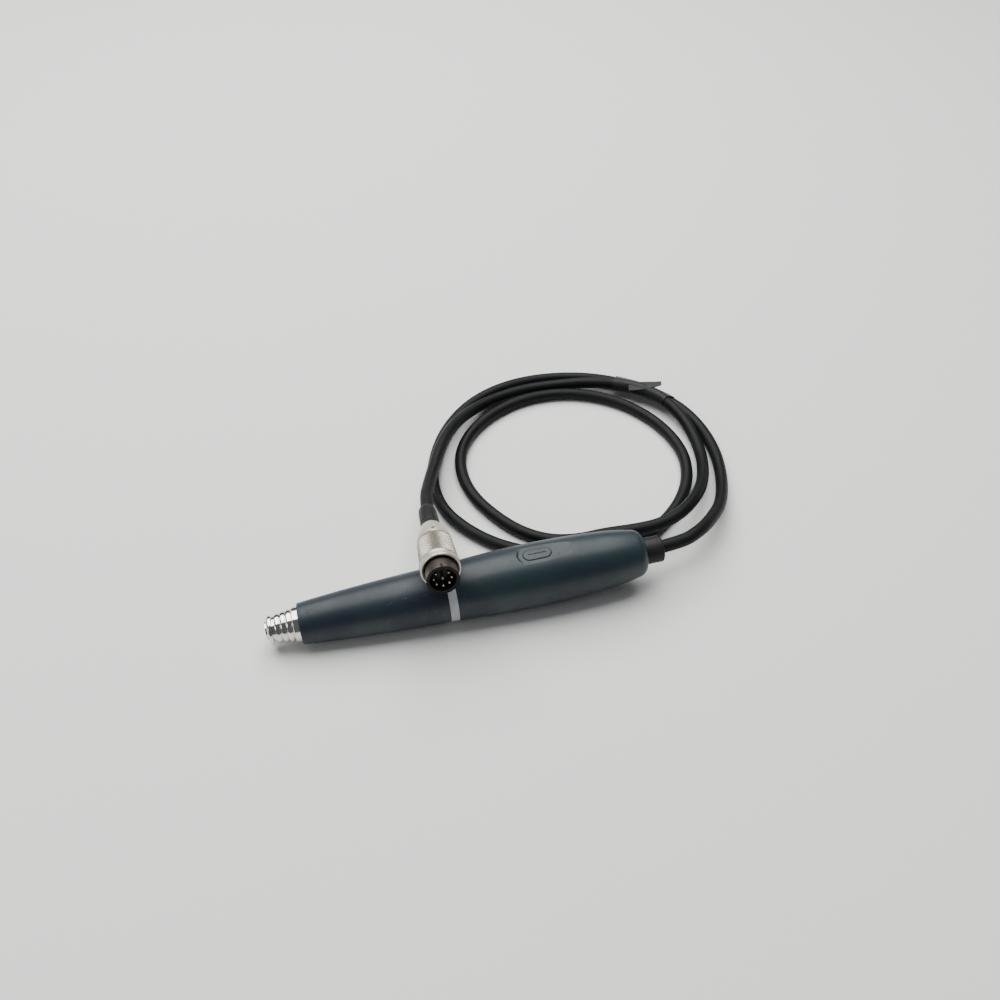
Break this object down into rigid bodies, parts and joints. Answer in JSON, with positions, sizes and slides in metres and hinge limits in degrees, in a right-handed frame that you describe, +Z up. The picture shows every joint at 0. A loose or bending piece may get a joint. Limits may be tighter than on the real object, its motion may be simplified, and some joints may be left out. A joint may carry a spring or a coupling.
{
  "type": "motorized pipette controller",
  "caption": "Corded motor handpiece with a ribbed quick-lock nose for plug-in pipette heads, a thumb key, a looped cord and a round multi-pin plug.",
  "frame": {"origin": "on the floor under the middle of the handle's own box, cord and plug left out", "axes": "+X along the handle from the nose to the cord, +Z up with the thumb key on top; the cord lies on the +Y side"},
  "size_m": [0.2454, 0.1732, 0.0466],
  "materials": {
    "petrol_paint": "satin petrol-blue paint on an aluminium shell, worn at the nose edge",
    "light_ring": "light grey moulded ring",
    "bright_chrome": "polished plating",
    "spring_steel": "ground spring and ball steel",
    "bearing_steel": "ground steel",
    "turned_aluminium": "turned aluminium",
    "gear_steel": "cut and hardened steel",
    "motor_steel": "drawn and stacked electrical steel",
    "magnet_alloy": null,
    "enamelled_copper": null,
    "circuit_board": "glass laminate with green solder mask",
    "black_plastic": "moulded black plastic",
    "lead_insulation": "thin insulated wire",
    "cord_jacket": "matt black flexible jacket",
    "tape_black": "black insulating tape",
    "boot_rubber": "smooth black strain relief",
    "satin_nickel": "satin nickel plating",
    "gold_contact": "plated contact pins"
  },
  "bodies": {
    "handle": {"front_sleeve": "petrol_paint", "rear_shell": "petrol_paint", "seam_band": "light_ring", "nose_tube": "bright_chrome", "nose_cap": "bright_chrome", "collar_spring": "spring_steel", "spindle_bearing": "bearing_steel", "motor_front_bearing": "bearing_steel", "motor_rear_bearing": "bearing_steel", "bearing_plate": "turned_aluminium", "gearbox_spacer": "turned_aluminium", "motor_retainer": "turned_aluminium", "motor_front_bell": "turned_aluminium", "motor_rear_bell": "turned_aluminium", "cord_clamp": "turned_aluminium", "ring_gear": "gear_steel", "motor_can": "motor_steel", "stator_core": "motor_steel", "stator_winding": "enamelled_copper", "sensor_board": "circuit_board", "control_board": "circuit_board", "board_chips": "black_plastic", "key_switch": "black_plastic", "motor_leads": "lead_insulation", "cord_leads": "lead_insulation", "clamp_screws": "bearing_steel", "cable_gland": "black_plastic", "gland_nut": "turned_aluminium", "cord": "cord_jacket", "cord_wrap": "tape_black", "plug_boot": "boot_rubber", "plug_shell": "satin_nickel", "plug_barrel": "satin_nickel", "plug_insulator": "black_plastic", "plug_pins": "gold_contact", "plug_set_screw": "bearing_steel"},
    "collar": {"locking_collar": "bright_chrome"},
    "ball_1": {"locking_ball_1": "spring_steel"},
    "ball_2": {"locking_ball_2": "spring_steel"},
    "ball_3": {"locking_ball_3": "spring_steel"},
    "spindle": {"output_spindle": "gear_steel", "planet_carrier": "gear_steel"},
    "planet_1": {"planet_gear_1": "gear_steel"},
    "planet_2": {"planet_gear_2": "gear_steel"},
    "planet_3": {"planet_gear_3": "gear_steel"},
    "rotor": {"rotor_shaft": "gear_steel", "rotor_magnet": "magnet_alloy", "sun_pinion": "gear_steel"},
    "key": {"thumb_key": "petrol_paint", "switch_plunger": "black_plastic"},
    "ring": {"coupling_ring": "satin_nickel"}
  },
  "joints": [
    {"name": "collar_slide", "type": "slide", "parent": "handle", "child": "collar", "axis": [0.999, 0, 0.0454], "range_m": [0, 0.002], "stiffness_N_per_m": 900, "springref_m": -0.002, "deforming": ["collar_spring"]},
    {"name": "rotor_spin", "type": "hinge", "parent": "handle", "child": "rotor", "pos_m": [-0.02326, 0, 0.01281], "axis": [0.999, 0, 0.0454], "continuous": true},
    {"name": "spindle_spin", "type": "hinge", "parent": "handle", "child": "spindle", "pos_m": [-0.06372, 0, 0.01097], "axis": [0.999, 0, 0.0454], "continuous": true},
    {"name": "ball_1_slide", "type": "slide", "parent": "handle", "child": "ball_1", "axis": [-0.0454, 0, 0.999], "range_m": [0, 0.0006]},
    {"name": "ball_2_slide", "type": "slide", "parent": "handle", "child": "ball_2", "axis": [0.0227, -0.866, -0.4995], "range_m": [0, 0.0006]},
    {"name": "ball_3_slide", "type": "slide", "parent": "handle", "child": "ball_3", "axis": [0.0227, 0.866, -0.4995], "range_m": [0, 0.0006]},
    {"name": "planet_1_spin", "type": "hinge", "parent": "spindle", "child": "planet_1", "pos_m": [-0.05804, 0, 0.01603], "axis": [0.999, 0, 0.0454], "continuous": true},
    {"name": "planet_2_spin", "type": "hinge", "parent": "spindle", "child": "planet_2", "pos_m": [-0.05772, -0.00416, 0.00884], "axis": [0.999, 0, 0.0454], "continuous": true},
    {"name": "planet_3_spin", "type": "hinge", "parent": "spindle", "child": "planet_3", "pos_m": [-0.05772, 0.00416, 0.00884], "axis": [0.999, 0, 0.0454], "continuous": true},
    {"name": "key_press", "type": "slide", "parent": "handle", "child": "key", "axis": [0.0454, 0, -0.999], "range_m": [0, 0.0005], "stiffness_N_per_m": 1500, "springref_m": -0.0004},
    {"name": "ring_spin", "type": "hinge", "parent": "handle", "child": "ring", "pos_m": [-0.01298, 0.00224, 0.03567], "axis": [0.0374, 0.9737, -0.225], "continuous": true}
  ],
  "couplings": [
    {"joint": "spindle_spin", "follows": "rotor_spin", "ratio": 0.25},
    {"joint": "planet_1_spin", "follows": "rotor_spin", "ratio": -0.75},
    {"joint": "planet_2_spin", "follows": "rotor_spin", "ratio": -0.75},
    {"joint": "planet_3_spin", "follows": "rotor_spin", "ratio": -0.75},
    {"joint": "ball_1_slide", "follows": "collar_slide", "ratio": 0.3},
    {"joint": "ball_2_slide", "follows": "collar_slide", "ratio": 0.3},
    {"joint": "ball_3_slide", "follows": "collar_slide", "ratio": 0.3}
  ]
}
